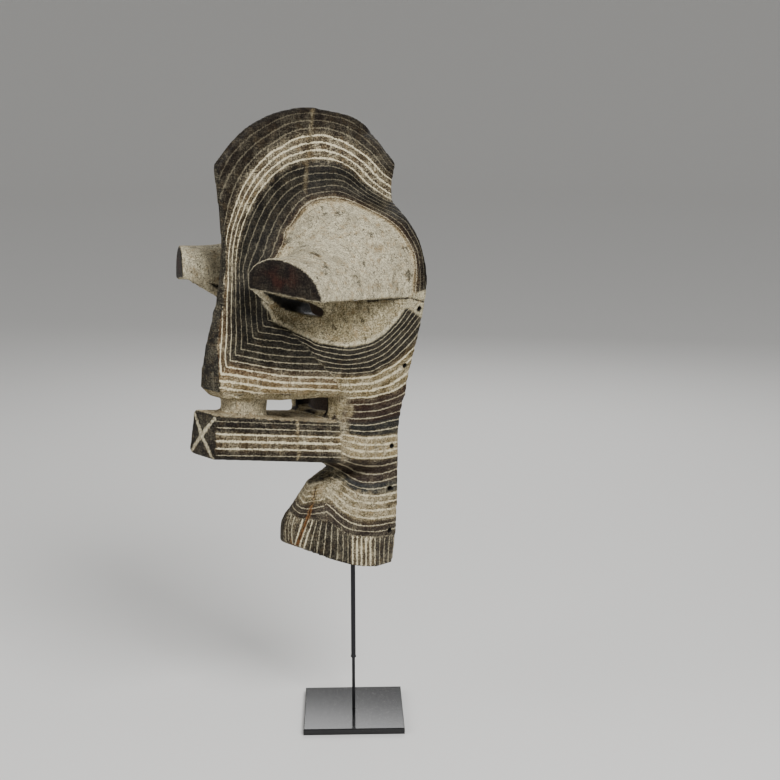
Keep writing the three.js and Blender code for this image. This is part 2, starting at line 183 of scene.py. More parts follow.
class Bands:
    """Paint as it changes from line to line."""

    def __init__(self, rows: list[tuple[float, str, float, float, float]]) -> None:
        """Takes rows of line number, ground colour, line strength, line width and chalk dust."""
        self.numbers = np.array([row[0] for row in rows])
        self.values = np.array([[*linear(row[1]), *row[2:]] for row in rows])

    def at(self, number: Array) -> Array:
        """Gives colour, strength, width and dust at line numbers, in six columns."""
        return np.stack([np.interp(number, self.numbers, self.values[:, k]) for k in range(6)], 1)


def polygon(chart: Array, corners: list[tuple[float, float]]) -> Array:
    """Tells which chart positions lie inside a closed outline.

    Args:
        chart: chart positions, one per row.
        corners: the outline's corners.

    Returns:
        True for each position inside.
    """
    u, v = chart[:, 0], chart[:, 1]
    inside = np.zeros(len(chart), bool)
    for (u0, v0), (u1, v1) in zip(corners, corners[1:] + corners[:1]):
        if v0 == v1:
            continue
        crosses = (v0 > v) != (v1 > v)
        inside ^= crosses & (u < (u1 - u0) * (v - v0) / (v1 - v0) + u0)
    return inside


def near_path(chart: Array, path: list[tuple[float, float]]) -> Array:
    """Measures how far chart positions are from a path of straight runs.

    Args:
        chart: chart positions, one per row.
        path: the path's points.

    Returns:
        The distance of each position.
    """
    best = np.full(len(chart), 1e9)
    for a, b in zip(path, path[1:]):
        start, run = np.array(a, float), np.array(b, float) - np.array(a, float)
        t = np.clip(((chart - start) @ run) / (run @ run), 0, 1)
        best = np.minimum(best, np.linalg.norm(chart - start - t[:, None] * run, axis=1))
    return best


def cover(chart: Array, corners: list[tuple[float, float]], soft: float = 1.2) -> Array:
    """Gives how far chart positions are covered by a closed outline, from 0 to 1 across its soft edge."""
    distance = near_path(chart, corners + corners[:1])
    return step(-soft, soft, np.where(polygon(chart, corners), distance, -distance))


# Lines of the crest and nose side, numbered from the crest's edge towards the eye
ARCHES = {
    0: [(214, 172), (219, 159), (232, 142), (246, 128), (265, 117), (284, 109), (300, 106), (332, 110),
        (349, 114), (361, 122), (378, 137), (389, 152), (397, 163)],
    2: [(220, 198), (227, 180), (239, 160), (255, 144), (271, 133), (285, 125), (301, 121), (325, 121),
        (345, 126), (362, 136), (378, 151), (393, 170)],
    4: [(310, 136), (280, 148), (265, 158), (255, 169), (245, 184), (238, 200), (232, 216), (227, 236),
        (225, 256), (224, 280), (222.5, 310), (221.5, 340), (221, 374), (335, 138.5), (345, 142.5),
        (357, 150), (377, 167), (392, 180)],
    5: [(320, 142), (300, 145), (280, 154), (265, 167), (255, 179), (247, 192), (240, 208), (235, 222),
        (230, 244), (228.6, 280), (227, 320), (226, 366)],
    6: [(320, 150), (300, 153), (280, 162), (265, 175), (255, 188), (245, 206), (238, 224), (233.6, 244),
        (232, 280), (231, 320), (230.4, 361), (345, 157), (375, 183)],
    7: [(320, 158), (300, 160), (285, 166), (273, 175), (263, 186), (255, 198), (247, 214), (241, 232),
        (237, 250), (235.6, 270), (236, 320), (235.5, 355), (345, 164), (365, 181.5), (391, 199)],
    8: [(320, 166), (300, 169), (285, 175), (273, 186), (263, 198), (255, 212), (248, 228), (243, 244),
        (239.5, 264), (240, 300), (241, 349), (345, 171), (375, 194)],
    9: [(320, 173), (300, 176.5), (285, 184), (275, 193), (266, 206), (258, 222), (252, 238), (247, 254),
        (243, 270), (244.5, 300), (247.5, 343), (345, 176.5), (375, 197.5)],
    10: [(320, 180), (300, 184), (288, 191), (278, 202), (270, 214), (263, 230), (257, 246), (253, 256),
         (250, 300), (253, 338), (345, 182), (375, 201), (393, 208), (410, 219), (426.5, 262),
         (428, 285)],
    11: [(320, 187), (303, 190.5), (291, 199), (282, 210), (275, 222), (268, 238), (264, 252),
         (256, 300), (258, 332), (345, 187.5), (375, 204.5), (393, 213), (410, 228), (423, 262),
         (424, 285)],
    12: [(320, 192.5), (306, 196.5), (295, 206), (287, 217), (280, 230), (274, 246), (271, 256),
         (262, 305), (263, 326), (345, 193), (375, 208), (393, 218), (410, 236), (419.5, 262),
         (420, 285)],
    13: [(320, 198), (308, 203), (298, 213), (290, 226), (284, 240), (279, 252), (267, 310), (268, 320),
         (345, 198.5), (375, 212), (393, 223), (410, 244), (416, 262), (416, 285)],
    14: [(337, 203), (323, 203.4), (305, 212.8), (290, 228.8), (281, 254), (357, 207.4), (377, 216.8),
         (391, 226), (403, 239.6), (411, 254), (413, 270), (412, 284), (411, 294)],
}
# Lines above the nose's lower edge, numbered to meet the arches in a mitre
LEDGES = {
    3: [(221, 381), (262, 387), (300, 389), (330, 390)],
    4: [(221, 374), (262, 379.5), (300, 383), (330, 384)],
    5: [(226, 366.5), (262, 372.5), (300, 377.4), (330, 378)],
    6: [(230.4, 360.5), (265, 367), (300, 370.6), (330, 371.5)],
    7: [(235.4, 355), (265, 360.6), (300, 363.6), (330, 365)],
    8: [(241.6, 349.4), (265, 354), (300, 357), (325, 358)],
    9: [(248, 343.5), (281, 348.6), (312, 351)],
    10: [(254, 338), (281, 341), (305, 345)],
    11: [(258, 332), (275, 334.5), (293, 338.5)],
    12: [(263, 326), (280, 329)],
    13: [(268, 320), (275, 321.5)],
}
# Lines from the lower lid down over cheek, jaw and the beard's side, numbered from the lid's lip
ARCS = {
    0: [(264, 302), (276, 321), (284, 325), (297, 331), (317, 340), (334, 343.3), (350, 344.7),
        (371, 340), (384, 332), (397, 317), (405, 306)],
    1: [(285, 330), (300, 337), (317, 345.5), (334, 348.5), (350, 350), (371, 345.5), (386, 336),
        (400, 322), (409, 309)],
    3: [(305, 348), (320, 355), (345, 360), (368, 356), (386, 347), (402, 331), (416, 314)],
    5: [(318, 366), (345, 369), (370, 367), (387, 358), (403, 343), (421, 321)],
    6: [(326, 372), (345, 373), (365, 372), (381, 366), (401, 352), (417, 335)],
    7: [(332, 377), (345, 378.5), (361, 377.5), (383, 371), (405, 357), (414, 348)],
    8: [(336, 384), (361, 384), (385, 378), (405, 364), (412, 357)],
    9: [(341, 391), (357, 391.5), (372, 390.5), (390, 385), (409, 371.5)],
    10: [(345, 398), (360, 397.5), (380, 394.5), (403, 385)],
    12: [(350, 411.7), (360, 411.7), (380, 410), (402, 402.5)],
    14: [(353, 425), (370, 425), (387, 421.5), (398, 419)],
    16: [(353, 436), (377, 437.5), (398, 435)],
    17: [(350, 442), (367, 445), (387, 444), (398, 441.7)],
    18: [(350, 448.5), (367, 451.7), (387, 450.8), (398, 448)],
    19: [(350, 456.7), (370, 458), (387, 457.5), (398, 455)],
    20: [(348, 461.7), (363, 465.8), (380, 465.8), (398, 461.7)],
    21: [(347, 466.5), (362, 473), (380, 474), (399, 468)],
    22: [(342, 471.7), (350, 476.7), (362, 482), (380, 481.5), (399, 476)],
    23: [(340, 476.7), (348, 483), (361, 488), (380, 488), (398, 484)],
    24: [(337, 480), (342, 484), (350, 490), (363, 495), (380, 495.5), (398, 491.7)],
    26: [(333, 493), (341, 500), (350, 506.5), (363, 510), (380, 510), (398, 507)],
    27: [(332, 500), (340, 508), (350, 514), (363, 517.5), (380, 517.5), (398, 515)],
    28: [(334, 510), (343, 518), (352, 523), (363, 526), (380, 525), (398, 522)],
    29: [(336, 520), (345, 527), (357, 530.5), (377, 531.5), (398, 527.5)],
    30: [(333, 524), (343, 531.7), (350, 535), (363, 536), (387, 536), (397, 536)],
}
# The same lines on the beard's front facet, from its middle to its corner
SMILES = {
    19: [(322, 461), (330, 457), (340, 450)],
    21: [(320, 469), (326, 468), (336, 462)],
    23: [(318.5, 477.5), (325, 476), (333, 472)],
    24: [(317, 483.5), (325, 481), (333, 478)],
    25: [(316, 490), (324, 488), (332, 484)],
    26: [(314, 496), (322, 494.5), (331, 490)],
    27: [(312, 501), (320, 500), (329, 497)],
    28: [(310, 509), (320, 507), (330, 505)],
    29: [(308, 514), (320, 513), (330, 512)],
    30: [(305, 518.5), (315, 520), (327, 520.5), (334, 521)],
    33: [(298, 543), (318, 545), (330, 546)],
}
# Upright lines under the beard's last arc, numbered from its corner
FLUTES = {
    -4.6: [(305, 519), (301, 532), (297, 545)],
    -4: [(309, 518.5), (304.5, 532), (300, 546)],
    -3: [(313, 519), (308, 534), (304, 548)],
    -2: [(317, 519.5), (313, 535), (310, 550)],
    -1: [(322, 520), (319, 537), (317, 553)],
    0: [(327, 521), (325, 540), (323, 557)],
    1: [(332, 525), (331, 542), (330, 560)],
    2: [(338, 529), (338, 545), (337, 561)],
    4: [(348, 534), (348, 550), (348, 564)],
    6: [(357.5, 536), (357, 551), (357, 566)],
    8: [(366, 536), (366, 551), (366, 567)],
    10: [(375.5, 536), (375, 552), (375, 568)],
    12: [(385, 536), (384, 551), (384, 566)],
    14: [(394, 536), (393, 549), (392, 562)],
}

EYE_WHITE = [(247, 271), (260, 258), (281, 254), (290, 229), (305, 213), (324, 203.4), (337, 202.7),
             (357, 207.4), (377, 216.8), (391, 226), (403, 239.6), (411, 254), (413.5, 270), (412, 284),
             (411, 298), (322, 303), (247, 290)]
LOWER_LID = [(262, 291), (322, 303), (411, 298), (410, 301), (405, 306.5), (397, 317), (384, 332),
             (371, 340), (350, 344.7), (334, 343.3), (317, 340), (297, 330.6), (284, 324), (275.5, 321),
             (270, 310.5), (263, 302)]
OUTER_CORNER = [(411, 294), (431, 289), (431, 306), (426, 320), (421, 317), (405, 306)]
JOG = [(283, 325), (300, 341), (305, 346), (320, 363), (335, 378), (342, 392)]
CREST_SEAM = [(313, 107), (310, 140), (307, 165), (305, 190)]
BEARD_CRACK = [(318.5, 477), (313, 500), (309, 515), (303, 530), (297, 545)]
LID_GROOVE = [(325, 303), (350, 302), (380, 300), (410, 298), (428, 303)]
LAST_ARC = 30  # the number of the last arc, above the flutes
CUT_SPREAD = 0.2  # half width of a cut, as a share of the distance between lines
FACET_HALF = ([200, 250, 262, 270, 285, 300, 316, 322], [43, 43, 41, 38, 30, 23, 14, 10])
RIDGE_HALF = ([440, 462, 489, 516, 560, 753], [19, 18, 12.5, 8.4, 5.9, 5.3])
RIM = 28  # the plane of the open back, in mm
HOLLOW_MARGIN = 3  # how near the hollow a surface counts as its wall, in mm
# The hollow at the back, by height: its half width, its depth and how square it is
HOLLOW = [
    (196, 223, 250, 271, 290, 305, 316, 322, 332, 345, 380, 434, 480, 512, 560, 600, 634, 646, 664, 688, 706),
    (32, 36, 39, 41, 42, 42.5, 43, 43, 43, 43, 45, 58, 72, 82, 91, 80, 50, 32, 31, 38, 9),
    (82, 81, 80, 74, 64, 54, 40, 18, 22, 44, 54, 58, 88, 87, 86, 84, 72, 64, 50, 44, 40),
    (3, 2.8, 2.6, 2.4, 2.2, 1.8, 1.4, 1.2, 1.5, 2, 2, 2, 2, 2, 2, 2, 1.7, 1.55, 1.4, 1.2, 1.1),
]
CORD_HOLES = [(16, 250), (16, 303), (16, 356), (16, 457), (19, 526)]
# Outline of the painted shade under the eye's end, in chart numbers
SLIT_SHADE = [(262, 291), (316, 305), (324, 312), (322, 316.5), (310, 314.5), (286, 311), (274, 302)]

CREST_BANDS = Bands([
    (-2, "120d0a", 0.05, 0.08, 0.05), (0, "17110c", 0.06, 0.08, 0.05), (1, "1a130e", 0.1, 0.09, 0.1),
    (3.0, "1c150f", 0.16, 0.1, 0.15), (3.6, "2c2319", 0.7, 0.13, 0.4), (4.1, "4d412f", 1.0, 0.16, 0.75),
    (5.5, "42362a", 1.0, 0.16, 0.68), (6.9, "4d4332", 0.95, 0.15, 0.7), (7.4, "211a13", 0.6, 0.12, 0.3),
    (7.9, "0e0b08", 0.22, 0.09, 0.08), (11.0, "110d09", 0.16, 0.09, 0.08), (12.5, "21160d", 0.22, 0.1, 0.15),
    (13.2, "46321f", 0.5, 0.14, 0.45), (13.7, "8d7c5b", 0.5, 0.16, 0.8), (14.1, "c2b594", 0.0, 0.1, 0.85),
    (20, "c2b594", 0.0, 0.1, 0.85),
])
NOSE_SIDE_BANDS = Bands([
    (2, "2e2013", 0.5, 0.12, 0.2), (3.5, "523c25", 0.95, 0.17, 0.45), (4.5, "4a3720", 0.95, 0.16, 0.45),
    (5.5, "281e13", 0.9, 0.14, 0.3), (6.3, "1c150e", 0.55, 0.11, 0.2), (7.0, "110d09", 0.3, 0.1, 0.1),
    (9.0, "0f0c08", 0.24, 0.09, 0.08), (13.0, "130f0a", 0.25, 0.09, 0.1), (15, "1c1610", 0.2, 0.08, 0.15),
])
LEDGE_BANDS = Bands([
    (1.0, "6b5b40", 0.7, 0.2, 0.65), (2.6, "786543", 1.0, 0.19, 0.65), (4.5, "5c452b", 0.95, 0.17, 0.55),
    (5.4, "3a2a19", 0.85, 0.14, 0.35), (6.2, "18120c", 0.5, 0.11, 0.15), (8.0, "0f0c08", 0.32, 0.09, 0.08),
    (14.0, "110d09", 0.28, 0.09, 0.08),
])
ARC_BANDS = Bands([
    (-0.5, "cfc3a0", 0.0, 0.1, 0.85), (0.2, "cfc3a0", 0.5, 0.1, 0.85), (0.45, "110d0a", 0.45, 0.11, 0.1),
    (6.0, "15100b", 0.5, 0.11, 0.15), (6.6, "463925", 0.85, 0.16, 0.5), (7.0, "786947", 1.0, 0.19, 0.75),
    (9.8, "7b6c4b", 1.0, 0.19, 0.8), (10.2, "38281a", 0.7, 0.12, 0.3), (11.0, "2b1710", 0.55, 0.09, 0.12),
    (13.4, "271611", 0.55, 0.09, 0.12), (13.9, "202223", 0.6, 0.1, 0.12), (15.6, "171717", 0.6, 0.11, 0.2),
    (15.95, "897856", 1.0, 0.19, 0.75), (18.9, "8b7b58", 1.0, 0.19, 0.8), (19.3, "2e241a", 0.7, 0.12, 0.3),
    (20.0, "2b201b", 0.5, 0.1, 0.15), (22.0, "30241e", 0.5, 0.1, 0.15), (22.4, "2d2f30", 0.5, 0.1, 0.15),
    (23.6, "292a29", 0.6, 0.11, 0.3), (24.0, "786b51", 0.85, 0.17, 0.8), (27.0, "877a5c", 0.95, 0.19, 0.85),
    (27.5, "3a2f24", 0.75, 0.12, 0.3), (28.5, "2f2520", 0.55, 0.1, 0.15), (30.0, "2b221d", 0.5, 0.1, 0.2),
    (31, "28211c", 0.4, 0.1, 0.2),
])
BAR_BANDS = Bands([
    (0, "2a2218", 0.3, 0.1, 0.3), (0.08, "15100c", 0.3, 0.09, 0.12), (0.2, "17110d", 0.3, 0.09, 0.15),
    (0.36, "1f1810", 0.75, 0.11, 0.25), (0.44, "463722", 1.0, 0.17, 0.5), (0.6, "453722", 1.0, 0.2, 0.5),
    (0.76, "3c2f1e", 0.95, 0.16, 0.4), (0.84, "201810", 0.5, 0.1, 0.2), (0.97, "130e0b", 0.4, 0.1, 0.1),
])
BAR_LINES = (0.0, 0.14, 0.28, 0.42, 0.58, 0.75, 0.9, 1.03)
FLUTE_BANDS = Bands([
    (-9, "30261b", 1.0, 0.2, 0.5), (-2.8, "30261b", 1.0, 0.2, 0.5), (-2.2, "211b15", 0.45, 0.1, 0.2),
    (4.4, "221d18", 0.45, 0.1, 0.2), (5.0, "4f4333", 1.0, 0.24, 0.7), (9.6, "4f4333", 1.0, 0.24, 0.7),
    (10.2, "312b26", 0.5, 0.12, 0.35), (16, "2e2924", 0.45, 0.12, 0.3),
])


@dataclass
class Carving:
    """What the carver and painter leave at each vertex.

    Attributes:
        depth: how far the surface is cut in, in mm.
        number: the line number, whole along a line.
        paint: linear ground colour, line strength, line width and chalk dust, in six columns.
        bare: where the wood is plain, inside and at the back, and the open mouth's inside, painted near-black
            as shade.
    """

    depth: Array
    number: Array
    paint: Array
    bare: Array


class Site:
    """Where each vertex lies, and the lines and paint that it has so far.

    Lengths are in mm. Both sides of the mask are folded onto its left one. Besides places and directions it
    keeps the marks that later work asks for, such as what lies on the beard's front facet.
    """

    def __init__(self, points: Array, normals: Array) -> None:
        """Finds the places of vertices.

        Args:
            points: vertex positions in mm.
            normals: vertex normals.
        """
        self.points = points
        self.x, self.y, self.z = np.abs(points[:, 0]), points[:, 1], points[:, 2]
        self.across = normals[:, 0] * np.sign(points[:, 0] + 1e-9)
        self.ahead, self.up = -normals[:, 1], normals[:, 2]
        self.chart = Chart.place(points)
        self.u, self.v = self.chart[:, 0], self.chart[:, 1]
        self.worn = unrest(points, 7, 3)
        count = len(points)
        self.number, self.arc, self.depth = np.zeros(count), np.zeros(count), np.zeros(count)
        self.paint = np.zeros((count, 6))
        self.lower = self.facet = self.fluted = self.in_bar = self.mouth_shade = self.bare = np.zeros(count, bool)

    def plain(self, where: Array, colour: str, dust: float, share: Array | float = 1.0) -> None:
        """Gives a place one colour and no lines, fully or by a share.

        Args:
            where: the vertices of the place.
            colour: the ground colour as sRGB hex.
            dust: chalk dust on the ground, from 0 to 1.
            share: how far the place is covered, from 0 to 1.
        """
        part = np.broadcast_to(share, where.shape)[where]
        row = np.array([*linear(colour), 0.0, 0.1, dust])
        self.paint[where] = self.paint[where] * (1 - part[:, None]) + row * part[:, None]
        self.depth[where] *= 1 - part


@dataclass
class MaskWork:
    """The carving and painting of the mask, place by place.

    Attributes:
        groove: depth of the narrow lines in mm.
        flute: depth of the beard's upright lines in mm.
        bar_groove: depth of the lines on the mouth bar in mm.
        lid_groove: depth of the line between the lids in mm.
        crack: depth of the beard's crack in mm.
    """

    END_AHEAD = (0.4894, -0.8721)
    groove: float = 0.75
    flute: float = 1.3
    bar_groove: float = 0.6
    lid_groove: float = 0.8
    crack: float = 1.4
    arches: LineFamily = field(default_factory=lambda: LineFamily(ARCHES))
    ledges: LineFamily = field(default_factory=lambda: LineFamily(LEDGES))
    arcs: LineFamily = field(default_factory=lambda: LineFamily(ARCS))
    smiles: LineFamily = field(default_factory=lambda: LineFamily(SMILES))
    flutes: LineFamily = field(default_factory=lambda: LineFamily(FLUTES))

    def work(self, points: Array, normals: Array) -> Carving:
        """Carves and paints.

        Args:
            points: vertex positions in mm.
            normals: vertex normals.

        Returns:
            The carving at each vertex.
        """
        site = Site(points, normals)
        self.face_lines(site)
        self.beard_lines(site)
        self.rubbed_cheek(site)
        self.mouth_bar(site)
        self.eyes(site)
        self.thick_chalk(site)
        self.beard_crack(site)
        self.nose_ridge(site)
        self.bare_wood(site)
        return Carving(site.depth, site.number, site.paint, site.bare)

    def face_lines(self, site: Site) -> None:
        """Lays the crest's arches, which meet the nose's ledges in a mitre, and the arcs of cheek and jaw.

        Args:
            site: the vertices.
        """
        u, v = site.u, site.v
        arch, ledge, arc = (family.at(site.chart) for family in (self.arches, self.ledges, self.arcs))
        corner_zone = (v > 318) | (v > 300) & (u < 285)
        is_ledge = corner_zone & (ledge < arch)
        site.number = np.where(is_ledge, ledge, arch)
        down = step(235, 300, v) * step(300, 262, u)
        site.paint = mix(CREST_BANDS.at(arch), NOSE_SIDE_BANDS.at(arch), down)
        site.paint[is_ledge] = LEDGE_BANDS.at(ledge)[is_ledge]

        # Right of the jog and below the nose the lines follow the lower lid
        jog_u = np.interp(v, [corner[1] for corner in JOG], [corner[0] for corner in JOG])
        site.lower = (v > 300) & (u > jog_u) & (arc > -0.6) | (v > 394)
        site.number = np.where(site.lower, arc, site.number)
        site.paint[site.lower] = ARC_BANDS.at(arc)[site.lower]
        site.arc = arc

    def beard_lines(self, site: Site) -> None:
        """Turns the arcs into smiles on the beard's front facet, lays its upright flutes, and cuts all lines.

        Args:
            site: the vertices.
        """
        site.facet = (site.z < 322) & (site.x < np.interp(site.z, *FACET_HALF)) & (site.y < -30)
        smile = self.smiles.at(site.chart)
        site.number = np.where(site.facet, smile, site.number)
        site.paint[site.facet] = ARC_BANDS.at(smile)[site.facet]
        site.arc = np.where(site.facet, smile, site.arc)
        site.fluted = (site.v > 505) & (site.arc > LAST_ARC) & (site.z < 300)
        flute = self.flutes.at(site.chart)
        site.number = np.where(site.fluted, flute, site.number)
        site.paint[site.fluted] = FLUTE_BANDS.at(flute)[site.fluted]

        off = np.abs(site.number - np.round(site.number))
        narrow = self.groove * np.exp(-((off / CUT_SPREAD) ** 2)) * np.clip(site.paint[:, 3] * 1.5, 0, 1)
        site.depth = np.where(site.fluted, self.flute * np.cos(off * math.pi) ** 2, narrow)

    def rubbed_cheek(self, site: Site) -> None:
        """Rubs chalk over the lines where jaw and bar root meet, and under the cheek.

        Args:
            site: the vertices.
        """
        u, v = site.u, site.v
        rubbed = step(9, 0, np.abs(u - 343 - 2.5 * site.worn)) * step(472, 455, v) * step(388, 402, v) * 0.7
        rubbed *= step(-1.3, 0.4, unrest(site.points, 5, 4))
        site.plain(site.lower & (rubbed > 0) & (site.x > 30), "a0947a", 0.9, rubbed)
        cheek = step(354, 338, u + 5 * site.worn) * step(310, 320, u) * step(418, 412, v + 3 * site.worn)
        site.plain((v > 390) & (v < 420) & (site.z < 436) & (cheek > 0), "a0926f", 0.85, cheek * 0.85)

    def mouth_bar(self, site: Site) -> None:
        """Works the mouth bar, its crossed end, the block above it and the open mouth behind, whose inside is
        painted near-black as shade.

        Args:
            site: the vertices.
        """
        x, y, z, up = site.x, site.y, site.z, site.up
        along = (216 + y) / 186
        top, bottom = 425 - 31 * along, 375 - 30 * along
        share = (top - z) / (top - bottom)
        site.in_bar = (y < -60) & (z < top + 2.5) & (z > bottom - 3) & (x < 53) & (site.u < 351)
        side = site.in_bar & (site.across > 0.5)
        tally = np.interp(share, BAR_LINES, range(len(BAR_LINES)))
        site.number = np.where(side, tally, site.number)
        site.paint[side] = mix(BAR_BANDS.at(share), site.paint, step(330, 348, site.u) * 0.6)[side]
        cut = self.bar_groove * np.exp(-(((tally - np.round(tally)) / CUT_SPREAD) ** 2))
        site.depth[side] = cut[side]
        site.plain(site.in_bar & (up > 0.8), "93856a", 0.85)
        site.plain(side & (np.abs(site.u - 298 - 0.4 * site.worn) < 1.1), "a08f6c", 0.8, 0.6)
        site.plain(site.in_bar & (up < -0.6), "15100d", 0.1)

        # The end has a cross of chalk, its arms narrower outwards
        front = site.in_bar & (site.ahead > 0.6) & (y < -205)
        site.plain(front, "19130f", 0.15)
        reach_x, reach_z = x / 23, np.abs(z - 400) / 25.5
        site.plain(front & (np.abs(reach_x - reach_z) * 17 < 2.8 - 1.5 * reach_x), "c9bfa2", 0.9)

        upright = np.abs(up) < 0.6
        site.plain((x < 19) & (y < -132) & (y > -190) & (z > top - 1) & (z < 448) & upright, "a79c80", 0.9)
        # Painted shade: the upright faces inside the open mouth are painted near-black
        site.mouth_shade = (x < 30) & (y > -128) & (y < -28) & (z > 402) & (z < 438) & upright
        site.plain(site.mouth_shade, "0e0b09", 0.0)

    def eyes(self, site: Site) -> None:
        """Works the eyes: dark flat ends, chalked tubes that open into a dome, and scooped lower lids, with
        painted shade under the upper lid, in the lid crease and in the slit.

        Args:
            site: the vertices.
        """
        x, y, z, chart = site.x, site.y, site.z, site.chart
        plane = (x - 60) * self.END_AHEAD[0] + (y + 199) * self.END_AHEAD[1]
        facing = step(0.5, 0.9, site.across * self.END_AHEAD[0] - site.ahead * self.END_AHEAD[1])
        end = (np.abs(plane) < 2.6) & (z > 561 - 0.16 * x) & (x > 54) & (facing > 0)
        tube = (x > 44) & (y < -96) & (z > 546)
        white = np.where((site.across > -0.2) & (y > -118), cover(chart, EYE_WHITE), 0)
        white = np.where(tube, 1.0, white)
        site.plain(white > 0, "c0b79c", 1.0, white)
        wall = (x > 36) & (x < 62) & (y < -128) & (z > 520) & (z <= 568) & (site.across < -0.3)
        site.plain(wall, "b5ab90", 1.0)

        # The lower lid is painted khaki, partly its own chalk and partly painted shade under the upper lid's
        # overhang
        lid = np.where((z < 566) & (x > 30) & ~end & ~tube & ~wall, cover(chart, LOWER_LID), 0)
        site.plain(lid > 0, "94896a", 0.95, lid)
        # Painted shade: the lower lid is painted darker towards the nose, near the slit
        site.plain(lid > 0, "4f4733", 0.7, lid * step(335, 275, site.u) * 0.8)
        corner = np.where(x > 85, cover(chart, OUTER_CORNER), 0)
        site.plain(corner > 0, "b9b093", 0.9, corner)
        lip = step(2.2, 0.9, near_path(chart, LOWER_LID[5:]))
        site.plain((lip > 0) & (site.v > 300) & (z < 560) & (y > -170), "d2c9ac", 1.0, lip)
        # Painted shade: near-black under the eye's end, over the web's shadowed face and the slit beside it
        slit_shade = np.where((z < 563) & (y > -180) & ~end, cover(chart, SLIT_SHADE, 0.9), 0)
        site.plain(slit_shade > 0, "0b0907", 0.0, slit_shade)

        # The end is dark, with a reddish bloom in its middle
        site.plain(end, "17100d", 0.05, facing)
        bloom = step(26, 6, np.hypot(x - 92, (z - 578) * 1.4)) * step(-0.9, 0.8, unrest(site.points, 9, 8))
        site.plain(end, "3a1c14", 0.0, bloom * facing * 0.7)

        # Painted shade: the crease between the lids is painted dark, and cut in
        crease_shade = (near_path(chart, LID_GROOVE) < 1.0) & (x > 75) & (y > -150)
        site.plain(crease_shade, "2c241a", 0.3)
        site.depth[crease_shade] = self.lid_groove
        seam = near_path(chart, CREST_SEAM)
        site.plain((seam < 3) & (z > 640), "6f6145", 0.6, 0.45 * step(3.0, 0.5, seam))

    def thick_chalk(self, site: Site) -> None:
        """Lays chalk thick and uneven over the pale bands of jaw and beard, and over the beard's top.

        Args:
            site: the vertices.
        """
        y, z, arc = site.y, site.z, site.arc
        pale = step(22.8, 24.2, arc) * step(27.6, 26.8, arc) + step(15.7, 16.3, arc) * step(19.2, 18.6, arc)
        jaw = site.lower & ~site.fluted & ~site.in_bar & (y < 27)
        pale = np.where(jaw, pale, 0) * step(-0.3, 0.9, unrest(site.points, 8, 5))
        site.plain(pale > 0, "a89c80", 0.95, pale * 0.6)
        top = (z > 292) & (z < 330) & (site.x < 40) & (y > -118) & (y < -30) & ~site.in_bar & ~site.mouth_shade
        patchy = step(-0.9, 0.7, unrest(site.points, 6, 7)) * step(290, 300, z) * 0.55
        site.plain(top, "8d8062", 0.8, patchy)

    def beard_crack(self, site: Site) -> None:
        """Opens one long crack down the middle of the beard, its edges broken to fresh wood.

        Args:
            site: the vertices.
        """
        split = near_path(site.chart, BEARD_CRACK)
        here = site.facet & (site.points[:, 0] > -6) & (site.z < 312)
        low = step(500, 515, site.v)
        site.plain(here & (split < 2.0), "9a7443", 0.15, step(2.0, 0.8, split) * (0.45 + 0.4 * low))
        site.plain(here & (split < 1.5), "7a4a25", 0.0, step(1.5, 0.7, split) * low * 0.8)
        site.plain(here & (split < 0.6), "1c110a", 0.0)
        cleft = self.crack * np.exp(-((split / 0.9) ** 2))
        site.depth = np.where(here, np.maximum(site.depth, cleft), site.depth)

    def nose_ridge(self, site: Site) -> None:
        """Leaves the nose ridge and the crest's edge plain and dark, and chalks the nose's underside.

        Args:
            site: the vertices.
        """
        z, up = site.z, site.up
        ridge = (site.x < np.interp(z, *RIDGE_HALF)) & (site.y < -150) & (site.ahead > 0.55) & (z > 446)
        site.plain(ridge & ~site.in_bar, "211e1a", 0.25)
        site.plain((site.x < 5.6) & (z > 690) & (up > 0.45), "1a1410", 0.1)
        site.plain((up < -0.55) & (z > 425) & (z < 452) & (site.y < -60), "7d7050", 0.75)
        site.plain((up < -0.55) & (z < 230), "2b2018", 0.1)

    def bare_wood(self, site: Site) -> None:
        """Leaves the wood bare in the hollow and on the rim, and paints the cord holes near-black as shade.

        Args:
            site: the vertices.
        """
        y, z = site.y, site.z
        half, front, full = (np.interp(z, HOLLOW[0], row) for row in HOLLOW[1:])
        reach = np.abs(RIM - y) / (RIM + HOLLOW_MARGIN + front)
        inside = ((site.x / (half + HOLLOW_MARGIN)) ** full + reach**full < 1) & (y < RIM - 0.4) & (z < 709)
        site.plain(inside, "43301f", 0.05)
        site.plain(inside, "2a1d13", 0.0, step(-0.2, 1.0, unrest(site.points, 22, 6)) * 0.6)
        back = (y > 27.2) & (site.ahead < -0.6)
        site.plain(back, "2f231a", 0.1)
        # Painted shade: the walls of the cord holes are painted near-black
        for hole_y, hole_z in CORD_HOLES:
            near = np.hypot(y - hole_y, z - hole_z)
            site.plain((near < 3.4) & (site.x > 30), "0a0806", 0.0)
        site.bare = inside | back | site.mouth_shade


class Finish(Enum):
    """Finishes of the pieces."""

    PIGMENTED_WOOD = "pigmented_wood"
    POLISHED_BLACK = "polished_black"
    DARK_STEEL = "dark_steel"
    STUDIO_FLOOR = "studio_floor"


